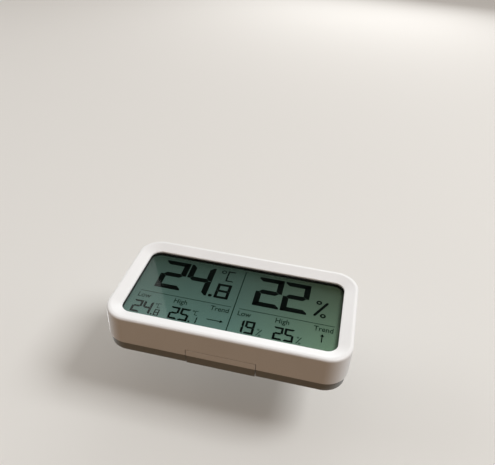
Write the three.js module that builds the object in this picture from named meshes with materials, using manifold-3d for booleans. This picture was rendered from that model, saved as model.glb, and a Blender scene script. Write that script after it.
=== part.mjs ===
import * as THREE from 'three';
import { mergeVertices } from 'three/addons/utils/BufferGeometryUtils.js';
import Module from 'manifold-3d';

const wasm = await Module();
wasm.setup();

// Desk thermometer and hygrometer. Millimetres, +Z up, display towards -Y, underside at z = 0.
// Depths are counted from the front rim backwards, and placed by inDepth().

// Outer case
const width = 120;
const height = 64;
const cornerRadius = 11.8;
const housingDepth = 16;
const caseWall = 2;
const rimRadius = 1.2;
const rimLand = 0.4;

// Bezel and display window
const bezelSide = 7;
const bezelTop = 7.4;
const windowRadius = 5.4;
const dishDepth = 1.8;
const lipThickness = 0.8;

// Clearances
const fitGap = 0.3;
const seatGap = 0.1;
const pinGap = 0.05;
const gridStep = 1e-4;

// Display stack
const lensThickness = 1;
const lensMargin = 0.8;
const gasketThickness = 0.5;
const gasketReveal = 0.1;
const filmThickness = 0.2;
const filmInset = 0.6;
const glassThickness = 0.7;
const contactLedge = 2.2;
const zebraThickness = 1.6;
const zebraInset = 6;

// Circuit board
const boardThickness = 1;
const boardEdgeGap = 0.4;
const boardCorner = 6;
const boardScrewInset = 2.1;
const boardScrewSpacing = 26;
const boardScrewLength = 5.4;
const boardScrewShank = 0.7;
const boardScrewHead = 1.4;
const boardScrewHeadHeight = 1;
const padWidth = 5;
const isolationWidth = 0.8;
const isolationHeight = 1;
const componentGap = 0.2;
const solderRoom = 0.7;

// AAA cells and their bay
const cellDiameter = 10.5;
const cellLength = 44.5;
const cellNubRadius = 1.9;
const cellNubHeight = 1;
const cellEdge = 0.42;
const springRoom = 5.6;
const plateRoom = 2.9;
const bayWall = 0.8;
const baySideGap = 0.35;
const bayTopMargin = 3.3;
const contactThickness = 0.4;
const contactWidth = 9;
const contactTabWidth = 3;
const springWire = 0.35;
const springBaseRadius = 3.6;
const springTipRadius = 2.2;
const springTurns = 3;

// Rear cover
const coverInset = 1;
const coverWall = 1.8;
const coverEdge = 1;
const flangeThickness = 1;
const flangeLength = 3;
const ventCount = 5;
const ventWidth = 1.6;
const ventHeight = 14;
const ventPitch = 3.3;
const ventX = 44;

// Case screws
const bossRadius = 2.1;
const screwX = 45;
const screwShank = 0.9;
const screwHead = 1.65;
const screwHeadHeight = 1.4;
const screwLength = 8.8;
const screwWell = 3.2;
const slotWidth = 0.5;
const slotDepth = 0.7;

// Shares of a screw's head and shank
const slotShare = 1.3;
const crownShare = 0.7;
const tipShare = 0.45;

// Battery door
const doorThickness = 1.6;
const doorLedge = 1.7;
const doorCorner = 2;
const doorTabX = 18;
const doorTabWidth = 6;
const doorTabReach = 1;
const doorTabThickness = 1.2;
const doorLatchWidth = 9;
const doorLatchDepth = 3;
const thumbWidth = 14;
const thumbDepth = 3.4;
const thumbRadius = 9;
const gripCount = 5;
const gripPitch = 2;
const gripStart = 3;
const gripWidth = 0.9;
const gripLength = 12;
const gripDepth = 0.4;

// Fold-out stand
const standWidth = 34;
const standAxisZ = 27;
const standThickness = 2.2;
const standBarrel = 1.6;
const standRib = 1.4;
const standFootHeight = 3;
const standLipDepth = 4;
const standThumbRise = 2;
const standPinRadius = 0.8;
const standPinGrip = 2.6;
const standPinCover = 0.6;
const pocketWall = 1.2;
const backRecess = 0.2;

// Push buttons and their switches
const buttonX = 36;
const buttonZ = 15;
const buttonRadius = 3.4;
const buttonFlange = 4.4;
const buttonFlangeHeight = 1;
const buttonStem = 1.5;
const buttonDish = 0.4;
const buttonRim = 1;
const wellWall = 1.2;
const wellDepth = 4;
const switchSize = 6;
const switchHeight = 3.5;
const plungerRadius = 1.7;
const plungerHeight = 1.5;
const plungerDepth = 1.8;

// Small parts on the board
const chipInset = 14;
const chipRadius = 5;
const chipHeight = 1.5;
const sensorSize = 2.6;
const sensorHeight = 0.9;
const filterSize = 6;
const filterHeight = 1.8;
const filterWall = 0.6;
const lowRowDrop = 19;
const crystalInset = 19;
const crystalRadius = 1;
const crystalLength = 6.2;
const capacitorInset = 10;
const capacitorRadius = 2.5;
const capacitorHeight = 5.4;
const capacitorEdge = 0.25;
const capacitorGroove = 0.2;
const capacitorGrooveHeight = 1.3;
const resistorSize = [2, 0.6, 1.25];

// Depth of each layer behind the front rim
const lipBack = dishDepth + lipThickness;
const lensFront = lipBack + seatGap;
const gasketFront = lensFront + lensThickness + seatGap;
const polariserFront = gasketFront + gasketThickness + seatGap;
const frontGlassFront = polariserFront + filmThickness + seatGap;
const rearGlassFront = frontGlassFront + glassThickness + seatGap;
const reflectorFront = rearGlassFront + glassThickness + seatGap;
const boardFront = reflectorFront + filmThickness + fitGap;
const boardBack = boardFront + boardThickness;
const bayFront = boardBack + solderRoom;
const bayFloor = bayFront + bayWall;
const cellAxis = bayFloor + componentGap + cellDiameter / 2;
const doorFront = cellAxis + cellDiameter / 2 + 2 * componentGap;
const depth = doorFront + doorThickness;
const plateFront = depth - coverWall;

// Sizes that follow from the ones above
const windowWidth = width - 2 * bezelSide;
const windowHeight = height - 2 * bezelTop;
const middle = height / 2;
const cavityWidth = width - 2 * caseWall;
const cavityHeight = height - 2 * caseWall;
const cavityRadius = cornerRadius - caseWall;
const glassWidth = windowWidth + 2 * lensMargin;
const glassHeight = windowHeight + 2 * lensMargin;
const boardWidth = cavityWidth - 2 * boardEdgeGap;
const boardScrewX = cavityWidth / 2 - boardScrewInset;
const bayLength = cellLength + springRoom + plateRoom;
const bayHeight = 2 * cellDiameter + 3 * baySideGap;
const bayTop = height - coverInset - bayTopMargin - bayWall;
const bayMiddle = bayTop - bayHeight / 2;
const cellSpacing = cellDiameter + baySideGap;
const screwZ = glassHeight / 2 + fitGap + bossRadius;
const standAxisDepth = depth - backRecess - standBarrel;
const pocketFloor = standAxisDepth - standBarrel - fitGap;
const pocketHalf = standWidth / 2 + fitGap;
const pocketTop = standAxisZ + standBarrel + fitGap;
const lipFront = housingDepth - standLipDepth;
const sides = [-1, 1];

const inDepth = (distance) => distance - depth / 2;

// Vertices are put on a fine grid, so that faces meant to lie in one plane do.
function solidOf(geometry) {
  const bare = geometry.clone();
  bare.deleteAttribute('normal');
  bare.deleteAttribute('uv');
  const positions = bare.attributes.position.array;
  positions.forEach((value, i) => {
    positions[i] = Math.round(value / gridStep) * gridStep;
  });
  const welded = mergeVertices(bare, gridStep / 2);
  const triVerts = [];
  for (let i = 0; i < welded.index.count; i += 3) {
    const [a, b, c] = [0, 1, 2].map((corner) => welded.index.getX(i + corner));
    if (a !== b && b !== c && c !== a) triVerts.push(a, b, c);
  }
  return new wasm.Manifold(new wasm.Mesh({
    numProp: 3,
    vertProperties: new Float32Array(welded.attributes.position.array),
    triVerts: new Uint32Array(triVerts),
  }));
}

function geometryOf(solid) {
  const { vertProperties, triVerts } = solid.getMesh();
  const geometry = new THREE.BufferGeometry();
  geometry.setAttribute('position', new THREE.BufferAttribute(vertProperties, 3));
  geometry.setIndex(new THREE.BufferAttribute(triVerts, 1));
  geometry.computeVertexNormals();
  return geometry;
}

const join = (first, ...others) => others.reduce((sum, other) => sum.add(other), first);
const cut = (first, ...others) => others.reduce((rest, other) => rest.subtract(other), first);

function roundedRect(w, h, radius, x = 0, z = middle) {
  const [right, top] = [w / 2 - radius, h / 2 - radius];
  const shape = new THREE.Shape();
  shape.absarc(x + right, z - top, radius, -Math.PI / 2, 0);
  shape.absarc(x + right, z + top, radius, 0, Math.PI / 2);
  shape.absarc(x - right, z + top, radius, Math.PI / 2, Math.PI);
  shape.absarc(x - right, z - top, radius, Math.PI, 1.5 * Math.PI);
  shape.closePath();
  return shape;
}

// An outline in the XZ plane, extruded from one depth to another.
function slab(shape, from, to, options = {}) {
  const geometry = new THREE.ExtrudeGeometry(shape, {
    depth: to - from,
    curveSegments: 5,
    bevelEnabled: false,
    ...options,
  });
  geometry.rotateX(Math.PI / 2);
  geometry.translate(0, inDepth(to), 0);
  return solidOf(geometry);
}

function block([x0, x1], [from, to], [z0, z1]) {
  const geometry = new THREE.BoxGeometry(x1 - x0, to - from, z1 - z0);
  geometry.translate((x0 + x1) / 2, inDepth((from + to) / 2), (z0 + z1) / 2);
  return solidOf(geometry);
}

const around = (centre, size) => [centre - size / 2, centre + size / 2];

function rod(radius, from, to, x, z, segments = 28) {
  const geometry = new THREE.CylinderGeometry(radius, radius, to - from, segments);
  geometry.translate(x, inDepth((from + to) / 2), z);
  return solidOf(geometry);
}

function rodAcross(radius, [x0, x1], at, z, segments = 24) {
  const geometry = new THREE.CylinderGeometry(radius, radius, x1 - x0, segments);
  geometry.rotateZ(Math.PI / 2);
  geometry.translate((x0 + x1) / 2, inDepth(at), z);
  return solidOf(geometry);
}

// A profile of [radius, height] points, turned about an axis that points backwards from a depth.
function turned(profile, at, x, z, segments = 28) {
  const points = profile.map(([radius, along]) => new THREE.Vector2(radius, along));
  const geometry = new THREE.LatheGeometry(points, segments);
  geometry.translate(x, inDepth(at), z);
  return solidOf(geometry);
}

const bosses = () => sides.flatMap((sideX) => sides.map((sideZ) => [
  sideX * screwX,
  middle + sideZ * screwZ,
]));

const boardScrews = () => sides.flatMap((sideX) => sides.map((sideZ) => [
  sideX * boardScrewX,
  middle + sideZ * boardScrewSpacing / 2,
]));

// Front housing: a shell with a dished bezel, screw bosses and pads for the board.
function frontHousing() {
  const outline = roundedRect(width - 2 * rimRadius, height - 2 * rimRadius, cornerRadius - rimRadius);
  const body = slab(outline, rimRadius, housingDepth + 2 * rimRadius, {
    bevelEnabled: true,
    bevelSize: rimRadius,
    bevelThickness: rimRadius,
    bevelSegments: 5,
  });
  const opening = roundedRect(windowWidth, windowHeight, windowRadius);
  const dish = slab(opening, -2 * dishDepth, 0, {
    bevelEnabled: true,
    bevelSize: bezelSide - rimRadius - rimLand,
    bevelThickness: dishDepth,
    bevelSegments: 1,
  });
  const cavity = slab(
    roundedRect(cavityWidth, cavityHeight, cavityRadius), lipBack, housingDepth + caseWall,
  );
  const beyond = block([-width, width], [housingDepth, 2 * depth], [-height, 2 * height]);
  const lipNotch = block(
    [-pocketHalf, pocketHalf], [lipFront, depth], [-caseWall, caseWall + fitGap],
  );
  const shell = cut(body, dish, slab(opening, -dishDepth, housingDepth), cavity, beyond, lipNotch);

  const inner = slab(
    roundedRect(width - caseWall, height - caseWall, cornerRadius - caseWall / 2),
    lipBack - seatGap, housingDepth,
  );
  const posts = bosses().flatMap(([x, z]) => [
    rod(bossRadius, lipBack - seatGap, housingDepth - componentGap, x, z),
    block(
      around(x, bossRadius),
      [lipBack - seatGap, housingDepth - flangeLength - fitGap],
      z < middle ? [0, z] : [z, height],
    ),
  ]);
  const pads = boardScrews().map(([x, z]) => block(
    around(Math.sign(x) * (glassWidth / 2 + fitGap + padWidth / 2), padWidth),
    [lipBack - seatGap, boardFront - seatGap],
    around(z, padWidth),
  ));
  const ribs = join(...posts, ...pads).intersect(inner);
  const pilots = bosses().map(([x, z]) => rod(
    screwShank + seatGap, depth - screwWell - screwLength - fitGap, depth, x, z, 16,
  ));
  const boardPilots = boardScrews().map(([x, z]) => rod(
    boardScrewShank + seatGap, boardBack - boardScrewLength - fitGap, depth, x, z, 16,
  ));
  return cut(join(shell, ribs), ...pilots, ...boardPilots);
}

const displayLens = () => slab(
  roundedRect(glassWidth, glassHeight, windowRadius + lensMargin), lensFront, lensFront + lensThickness,
);

function displayGasket() {
  const outline = roundedRect(glassWidth, glassHeight, windowRadius + lensMargin);
  const view = roundedRect(
    windowWidth - 2 * gasketReveal, windowHeight - 2 * gasketReveal, windowRadius - gasketReveal,
  );
  outline.holes.push(view);
  return slab(outline, gasketFront, gasketFront + gasketThickness);
}

const sheet = (w, h, from, thickness) => block(
  around(0, w), [from, from + thickness], around(middle, h),
);

const frontPolariser = () => sheet(
  glassWidth - 2 * filmInset, glassHeight - 2 * filmInset, polariserFront, filmThickness,
);
const frontGlass = () => sheet(glassWidth, glassHeight, frontGlassFront, glassThickness);
const rearGlass = () => sheet(glassWidth, glassHeight - 2 * contactLedge, rearGlassFront, glassThickness);
const reflector = () => sheet(
  glassWidth - 2 * filmInset, glassHeight - 2 * contactLedge - 2 * filmInset, reflectorFront,
  filmThickness,
);

// A rubber strip that carries the display's signals from the glass ledge to the board.
function zebraStrip(side) {
  const z = middle + side * (glassHeight / 2 - contactLedge / 2 + seatGap);
  return block(
    around(0, glassWidth - 2 * zebraInset),
    [frontGlassFront + glassThickness + seatGap, boardFront - seatGap],
    around(z, zebraThickness),
  );
}

function mainBoard() {
  const board = slab(roundedRect(boardWidth, glassHeight, boardCorner), boardFront, boardBack);
  const holes = boardScrews().map(([x, z]) => rod(
    boardScrewShank + seatGap, 0, depth, x, z, 16,
  ));
  const isolation = block(
    around(ventX, isolationWidth), [0, depth], around(bayMiddle - filterSize, isolationHeight),
  );
  return cut(board, ...holes, isolation);
}

// Pan head screw with a crossed slot, head towards the back.
function screw(head, headHeight, shank, length, seat, x, z) {
  const body = turned([
    [0, -length],
    [shank * tipShare, -length],
    [shank, -length + 2 * shank],
    [shank, 0],
    [head, 0],
    [head, headHeight * crownShare],
    [head * crownShare, headHeight],
    [0, headHeight],
  ], seat, x, z, 20);
  const top = [seat + headHeight - slotDepth, depth];
  const slots = [
    block(around(x, slotWidth), top, around(z, slotShare * head)),
    block(around(x, slotShare * head), top, around(z, slotWidth)),
  ];
  return cut(body, ...slots);
}

const caseScrew = ([x, z]) => screw(
  screwHead, screwHeadHeight, screwShank, screwLength, depth - screwWell + seatGap, x, z,
);
const boardScrew = ([x, z]) => screw(
  boardScrewHead, boardScrewHeadHeight, boardScrewShank, boardScrewLength, boardBack + seatGap, x, z,
);

// Rear cover: back shell with the battery bay, stand pocket, button wells and vents.
function rearCover() {
  const [outerW, outerH] = [width - 2 * coverInset, height - 2 * coverInset];
  const outerR = cornerRadius - coverInset;
  const edge = roundedRect(outerW - 2 * coverEdge, outerH - 2 * coverEdge, outerR - coverEdge);
  const rounded = slab(edge, housingDepth - 2 * coverEdge, depth - coverEdge, {
    bevelEnabled: true,
    bevelSize: coverEdge,
    bevelThickness: coverEdge,
    bevelSegments: 4,
  });
  const front = block([-width, width], [-depth, housingDepth + seatGap], [-height, 2 * height]);
  const shellBody = cut(rounded, front);
  const hollow = slab(
    roundedRect(outerW - 2 * coverWall, outerH - 2 * coverWall, outerR - coverWall), 0, plateFront,
  );
  const shell = cut(shellBody, hollow);
  const flange = cut(
    slab(
      roundedRect(cavityWidth - 2 * fitGap, cavityHeight - 2 * fitGap, cavityRadius - fitGap),
      housingDepth - flangeLength, housingDepth + 2 * seatGap + coverEdge,
    ),
    slab(
      roundedRect(
        cavityWidth - 2 * fitGap - 2 * flangeThickness,
        cavityHeight - 2 * fitGap - 2 * flangeThickness,
        cavityRadius - fitGap - flangeThickness,
      ), 0, depth,
    ),
    ...bosses().map(([x, z]) => rod(bossRadius + fitGap, 0, housingDepth + seatGap, x, z)),
  );

  const posts = join(...bosses().map(([x, z]) => rod(
    bossRadius + coverWall / 2, housingDepth + seatGap, depth, x, z,
  ))).intersect(shellBody);
  const bay = block(
    around(0, bayLength + 2 * bayWall),
    [bayFront, depth - doorThickness / 2],
    around(bayMiddle, bayHeight + 2 * bayWall),
  );
  const doorRim = slab(
    roundedRect(
      bayLength + 2 * doorLedge + 2 * pocketWall,
      bayHeight + 2 * doorLedge + 2 * pocketWall,
      doorCorner + pocketWall, 0, bayMiddle,
    ),
    doorFront - pocketWall - componentGap, depth - coverEdge,
  );
  const wells = sides.map((side) => rod(
    buttonFlange + fitGap + wellWall, plateFront - wellDepth, plateFront + seatGap, side * buttonX, buttonZ,
  ));
  const pocket = standPocket(pocketWall);
  const body = join(shell, flange, posts, bay, doorRim, ...wells, ...pocket);

  const bayHollow = block(
    around(0, bayLength), [bayFloor, 2 * depth], around(bayMiddle, bayHeight),
  );
  const doorSeat = slab(
    roundedRect(bayLength + 2 * doorLedge, bayHeight + 2 * doorLedge, doorCorner, 0, bayMiddle),
    doorFront - componentGap, depth + doorThickness,
  );
  const tabSlots = sides.map((side) => block(
    around(side * doorTabX, doorTabWidth + 2 * fitGap),
    [doorFront - 2 * pocketWall - doorTabThickness, doorFront - componentGap],
    [bayTop - doorTabThickness - doorLedge, bayTop + doorLedge + doorTabReach + fitGap],
  ));
  const latchSlot = block(
    around(0, doorLatchWidth + 2 * fitGap),
    [doorFront - doorLatchDepth - 2 * fitGap, depth],
    [bayTop - bayHeight - doorLedge, bayTop - bayHeight + doorLedge],
  );
  const thumb = slab(thumbShape(), depth - doorThickness, 2 * depth);
  const tabs = contacts().map(({ x, z }) => block(
    around(x, contactThickness + 2 * fitGap),
    [0, bayFloor + seatGap],
    around(z, contactTabWidth + 2 * fitGap),
  ));
  const vents = sides.flatMap((side) => Array.from({ length: ventCount }, (_, i) => slab(
    roundedRect(
      ventWidth, ventHeight, ventWidth / 2,
      side * (ventX + (i - (ventCount - 1) / 2) * ventPitch), bayMiddle,
    ),
    plateFront - seatGap, 2 * depth, { curveSegments: 2 },
  )));
  const screwHoles = bosses().flatMap(([x, z]) => [
    rod(screwShank + componentGap, 0, depth, x, z, 20),
    rod(screwHead + fitGap, depth - screwWell, 2 * depth, x, z),
  ]);
  const buttonHoles = sides.flatMap((side) => [
    rod(buttonRadius + componentGap, 0, 2 * depth, side * buttonX, buttonZ, 32),
    rod(buttonFlange + fitGap, 0, plateFront, side * buttonX, buttonZ, 32),
  ]);
  return cut(
    body, bayHollow, doorSeat, ...tabSlots, latchSlot, thumb, ...tabs, ...vents, ...screwHoles,
    ...buttonHoles, ...standPocket(0), standPinHole(),
  );
}

// The stand's pocket: with a wall it is the block to add, and without one the space to cut.
function standPocket(thickness) {
  const hole = thickness === 0;
  const past = hole ? coverWall : 0;
  const half = pocketHalf + thickness;
  const footTop = standFootHeight + fitGap + thickness;
  const inside = caseWall + fitGap;
  return [
    block([-half, half], [pocketFloor - thickness, depth - coverEdge + 2 * past],
      [coverInset + coverEdge - past, pocketTop + thickness]),
    block([-half, half], [lipFront - (hole ? 0 : thickness), housingDepth + seatGap],
      [hole ? -past : inside, footTop]),
    block([-half, half], [housingDepth + seatGap, depth - coverEdge + 2 * past],
      [hole ? -past : coverInset, footTop]),
    block(
      around(0, 2 * (half + (hole ? -pocketWall / 4 : standPinGrip + standPinCover))),
      [pocketFloor - thickness, depth - coverEdge],
      [standAxisZ - standBarrel - (hole ? fitGap : pocketWall), pocketTop + thickness],
    ),
  ];
}

const standPinHole = () => rodAcross(
  standPinRadius + pinGap, around(0, 2 * (pocketHalf + standPinGrip)), standAxisDepth, standAxisZ,
);

const standPin = () => rodAcross(
  standPinRadius, around(0, 2 * (pocketHalf + standPinGrip - seatGap)), standAxisDepth, standAxisZ,
);

// Stand leaf with its hinge barrel, stiffening ribs and the foot that wraps under the case.
function stand() {
  const back = depth - backRecess;
  const half = standWidth / 2;
  const leaf = block([-half, half], [back - standThickness, back], [coverInset, standAxisZ]);
  const barrel = rodAcross(standBarrel, [-half, half], standAxisDepth, standAxisZ, 28);
  const foot = block([-half, half], [lipFront + fitGap, back], [coverInset, standFootHeight]);
  const lip = block([-half, half], [lipFront + fitGap, housingDepth], [0, standFootHeight]);
  const ribs = [-1, 0, 1].map((side) => block(
    around(side * (half - standRib), standRib),
    [pocketFloor + fitGap, back - standThickness / 2],
    [standFootHeight / 2, standAxisZ],
  ));
  const thumbCut = rodAcross(
    standRib, around(0, standWidth / 3), back + standRib / 2, standFootHeight + standThumbRise, 20,
  );
  const pinHole = rodAcross(standPinRadius + seatGap, [-half - 1, half + 1], standAxisDepth, standAxisZ);
  return cut(join(leaf, barrel, foot, lip, ...ribs), thumbCut, pinHole);
}

// Half-moon outline at the door's lower edge, for a fingernail.
function thumbShape() {
  const lowerEdge = bayTop - bayHeight - doorLedge;
  const shape = new THREE.Shape();
  const spread = Math.asin(thumbWidth / 2 / thumbRadius);
  const centreZ = lowerEdge - thumbDepth / 2 + thumbRadius;
  shape.absarc(0, centreZ, thumbRadius, 1.5 * Math.PI - spread, 1.5 * Math.PI + spread);
  shape.closePath();
  return shape;
}

// Battery door: flat plate, two tabs under the cover's edge, a latch tongue and finger grips.
function batteryDoor() {
  const w = bayLength + 2 * doorLedge - 2 * fitGap;
  const h = bayHeight + 2 * doorLedge - 2 * fitGap;
  const plate = slab(roundedRect(w, h, doorCorner - fitGap, 0, bayMiddle), doorFront, depth);
  const top = bayMiddle + h / 2;
  const bottom = bayMiddle - h / 2;
  const tabs = sides.flatMap((side) => [
    block(around(side * doorTabX, doorTabWidth),
      [doorFront - componentGap - doorTabThickness, doorFront - componentGap],
      [top - 2 * doorTabReach, top + doorTabReach]),
    block(around(side * doorTabX, doorTabWidth),
      [doorFront - componentGap - doorTabThickness, doorFront + doorThickness / 2],
      [top - 2 * doorTabReach, top - doorTabReach + componentGap]),
  ]);
  const latch = block(
    around(0, doorLatchWidth),
    [doorFront - doorLatchDepth, doorFront + doorThickness / 2],
    [bayTop - bayHeight - bayWall, bayTop - bayHeight + fitGap],
  );
  const grips = Array.from({ length: gripCount }, (_, i) => block(
    around(0, gripLength), [depth - gripDepth, 2 * depth],
    around(bottom + (i + gripStart) * gripPitch, gripWidth),
  ));
  const nail = slab(thumbShape(), depth - doorThickness / 2, 2 * depth);
  return cut(join(plate, ...tabs, latch), ...grips, nail);
}

// Places of the four contact plates: which end of the bay, which cell, and spring or flat.
function contacts() {
  const endX = bayLength / 2 - seatGap - contactThickness / 2;
  return [
    { x: -endX, z: bayMiddle + cellSpacing / 2, towards: 1, spring: true },
    { x: -endX, z: bayMiddle - cellSpacing / 2, towards: 1, spring: false },
    { x: endX, z: bayMiddle + cellSpacing / 2, towards: -1, spring: false },
    { x: endX, z: bayMiddle - cellSpacing / 2, towards: -1, spring: true },
  ];
}

class ConeSpring extends THREE.Curve {
  constructor(length) {
    super();
    this.length = length;
  }

  getPoint(t) {
    const radius = THREE.MathUtils.lerp(springBaseRadius, springTipRadius, t);
    const angle = 2 * Math.PI * springTurns * t;
    return new THREE.Vector3(this.length * t, radius * Math.cos(angle), radius * Math.sin(angle));
  }
}

function coneSpring(length, x, towards, z) {
  const section = new THREE.Shape();
  section.absarc(0, 0, springWire, 0, 2 * Math.PI);
  const geometry = new THREE.ExtrudeGeometry(section, {
    steps: 16 * springTurns,
    curveSegments: 4,
    extrudePath: new ConeSpring(length),
  });
  if (towards < 0) geometry.rotateZ(Math.PI);
  geometry.translate(x, inDepth(cellAxis), z);
  return solidOf(geometry);
}

function contactPlate({ x, z, towards, spring }) {
  const plate = block(
    around(x, contactThickness),
    [bayFloor + componentGap, cellAxis + contactWidth / 2],
    around(z, contactWidth),
  );
  const tab = block(
    around(x, contactThickness),
    [boardBack + seatGap, bayFloor + 2 * componentGap],
    around(z, contactTabWidth),
  );
  const face = x + towards * contactThickness / 4;
  if (spring) {
    const reach = springRoom - seatGap - contactThickness - springWire - fitGap;
    return join(plate, tab, coneSpring(reach, face, towards, z));
  }
  const reach = plateRoom - cellNubHeight / 2 - seatGap - contactThickness - fitGap;
  const ends = [face, face + towards * reach];
  const stud = rodAcross(cellNubRadius, [Math.min(...ends), Math.max(...ends)], cellAxis, z);
  return join(plate, tab, stud);
}

function contactBridge() {
  const [, , flat, sprung] = contacts();
  const strap = block(
    around(flat.x, contactThickness),
    [cellAxis - contactTabWidth / 2, cellAxis + contactTabWidth / 2],
    [sprung.z, flat.z],
  );
  return join(contactPlate(flat), contactPlate(sprung), strap);
}

// A cell lies along X with its positive nub towards one end.
function cell(index) {
  const { towards, z } = contacts()[index];
  const radius = cellDiameter / 2;
  const start = springRoom - bayLength / 2;
  const profile = [
    [0, 0],
    [radius - cellEdge, 0],
    [radius, cellEdge],
    [radius, cellLength - cellNubHeight - cellEdge],
    [radius - cellEdge, cellLength - cellNubHeight],
    [cellNubRadius, cellLength - cellNubHeight],
    [cellNubRadius, cellLength],
    [0, cellLength],
  ].map(([r, along]) => new THREE.Vector2(r, start + along));
  const geometry = new THREE.LatheGeometry(profile, 32);
  geometry.rotateZ(-towards * Math.PI / 2);
  geometry.translate(0, inDepth(cellAxis), z);
  return solidOf(geometry);
}

// Push button: cap, retaining flange and the stem that reaches its switch.
function button(side) {
  const capBack = depth - backRecess;
  const flangeBack = plateFront - fitGap;
  const stemTip = boardBack + switchHeight + plungerHeight + componentGap;
  const x = side * buttonX;
  const cap = rod(buttonRadius, flangeBack - buttonFlangeHeight, capBack, x, buttonZ, 32);
  const flange = rod(buttonFlange, flangeBack - buttonFlangeHeight, flangeBack, x, buttonZ, 32);
  const stem = rod(buttonStem, stemTip, flangeBack, x, buttonZ, 20);
  const dish = turned([
    [0, -buttonDish],
    [buttonRadius - buttonRim, 0],
    [buttonRadius - buttonRim, buttonDish],
    [0, buttonDish],
  ], capBack, x, buttonZ, 32);
  return cut(join(cap, flange, stem), dish);
}

function switchBody(side) {
  const x = side * buttonX;
  const back = boardBack + switchHeight;
  const body = block(
    around(x, switchSize), [boardBack + seatGap, back], around(buttonZ, switchSize),
  );
  return cut(body, rod(plungerRadius + componentGap, back - plungerDepth, depth, x, buttonZ, 20));
}

const switchPlunger = (side) => rod(
  plungerRadius,
  boardBack + switchHeight - plungerDepth / 2,
  boardBack + switchHeight + plungerHeight,
  side * buttonX, buttonZ, 20,
);

// Epoxy dome over the controller chip.
function chipDome(x, z) {
  const steps = 6;
  const dome = Array.from({ length: steps + 1 }, (_, i) => {
    const angle = (i / steps) * Math.PI / 2;
    return [chipRadius * Math.cos(angle), chipHeight * Math.sin(angle)];
  });
  dome[steps][0] = 0;
  return turned([[0, 0], ...dome], boardBack + seatGap, x, z);
}

const sensorChip = (x, z) => block(
  around(x, sensorSize),
  [boardBack + seatGap, boardBack + seatGap + sensorHeight],
  around(z, sensorSize),
);

function sensorFilter(x, z) {
  const from = boardBack + seatGap;
  return cut(
    block(around(x, filterSize), [from, from + filterHeight], around(z, filterSize)),
    block(around(x, filterSize - 2 * filterWall), [0, from + filterHeight - filterWall],
      around(z, filterSize - 2 * filterWall)),
  );
}

const crystalCan = (x, z) => rodAcross(
  crystalRadius, around(x, crystalLength), boardBack + seatGap + crystalRadius, z, 20,
);

function capacitor(x, z) {
  return turned([
    [0, 0],
    [capacitorRadius, 0],
    [capacitorRadius, capacitorGrooveHeight - capacitorGroove],
    [capacitorRadius - capacitorGroove, capacitorGrooveHeight],
    [capacitorRadius, capacitorGrooveHeight + capacitorGroove],
    [capacitorRadius, capacitorHeight - capacitorEdge],
    [capacitorRadius - capacitorEdge, capacitorHeight],
    [0, capacitorHeight],
  ], boardBack + seatGap, x, z, 24);
}

const resistor = (x, z) => block(
  around(x, resistorSize[0]),
  [boardBack + seatGap, boardBack + seatGap + resistorSize[1]],
  around(z, resistorSize[2]),
);

// Colour, roughness and metalness of each finish.
const finishes = {
  whiteAbs: ['#f1f0ee', 0.38, 0],
  greyAbs: ['#8f918f', 0.45, 0],
  whiteKey: ['#dcdcd8', 0.4, 0],
  acrylic: ['#e9f2ee', 0.05, 0],
  blackFoam: ['#101211', 0.8, 0],
  polariser: ['#5f776c', 0.3, 0],
  glass: ['#8fa79b', 0.08, 0],
  silverFilm: ['#a9bbb0', 0.5, 0.2],
  rubber: ['#3b3f3e', 0.7, 0],
  solderMask: ['#1f5a3a', 0.45, 0],
  epoxy: ['#0d0e0f', 0.3, 0],
  blackPlastic: ['#1b1c1d', 0.5, 0],
  membrane: ['#e8e8e4', 0.7, 0],
  steel: ['#b8babc', 0.35, 1],
  nickel: ['#c6c3bb', 0.3, 1],
  cellSleeve: ['#3d7a52', 0.35, 0],
};

const group = new THREE.Group();

function add(name, solid, finish) {
  const [color, roughness, metalness] = finishes[finish];
  const mesh = new THREE.Mesh(
    geometryOf(solid),
    new THREE.MeshStandardMaterial({ color, roughness, metalness }),
  );
  mesh.name = name;
  group.add(mesh);
}

const sensorPlace = [ventX, bayMiddle];
const boardEdge = boardWidth / 2;
const lowRow = bayMiddle - lowRowDrop;

add('front_housing', frontHousing(), 'whiteAbs');
add('display_lens', displayLens(), 'acrylic');
add('display_gasket', displayGasket(), 'blackFoam');
add('lcd_front_polariser', frontPolariser(), 'polariser');
add('lcd_front_glass', frontGlass(), 'glass');
add('lcd_rear_glass', rearGlass(), 'glass');
add('lcd_reflector', reflector(), 'silverFilm');
add('zebra_strip_lower', zebraStrip(-1), 'rubber');
add('zebra_strip_upper', zebraStrip(1), 'rubber');
add('main_board', mainBoard(), 'solderMask');
add('controller_chip', chipDome(chipInset - boardEdge, bayMiddle), 'epoxy');
add('humidity_sensor', sensorChip(...sensorPlace), 'blackPlastic');
add('sensor_filter', sensorFilter(...sensorPlace), 'membrane');
add('clock_crystal', crystalCan(crystalInset - boardEdge, lowRow), 'nickel');
add('capacitor_left', capacitor(capacitorInset - boardEdge, lowRow), 'nickel');
add('capacitor_right', capacitor(boardEdge - capacitorInset, lowRow), 'nickel');
add('pull_up_resistor', resistor(boardEdge - crystalInset, lowRow), 'blackPlastic');
add('rear_cover', rearCover(), 'greyAbs');
add('battery_door', batteryDoor(), 'greyAbs');
add('stand', stand(), 'greyAbs');
add('stand_pin', standPin(), 'steel');
add('cell_upper', cell(0), 'cellSleeve');
add('cell_lower', cell(3), 'cellSleeve');
add('contact_negative', contactPlate(contacts()[0]), 'nickel');
add('contact_positive', contactPlate(contacts()[1]), 'nickel');
add('contact_bridge', contactBridge(), 'nickel');
sides.forEach((side) => {
  const hand = side < 0 ? 'left' : 'right';
  add(`button_${hand}`, button(side), 'whiteKey');
  add(`switch_body_${hand}`, switchBody(side), 'blackPlastic');
  add(`switch_plunger_${hand}`, switchPlunger(side), 'membrane');
});
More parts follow.
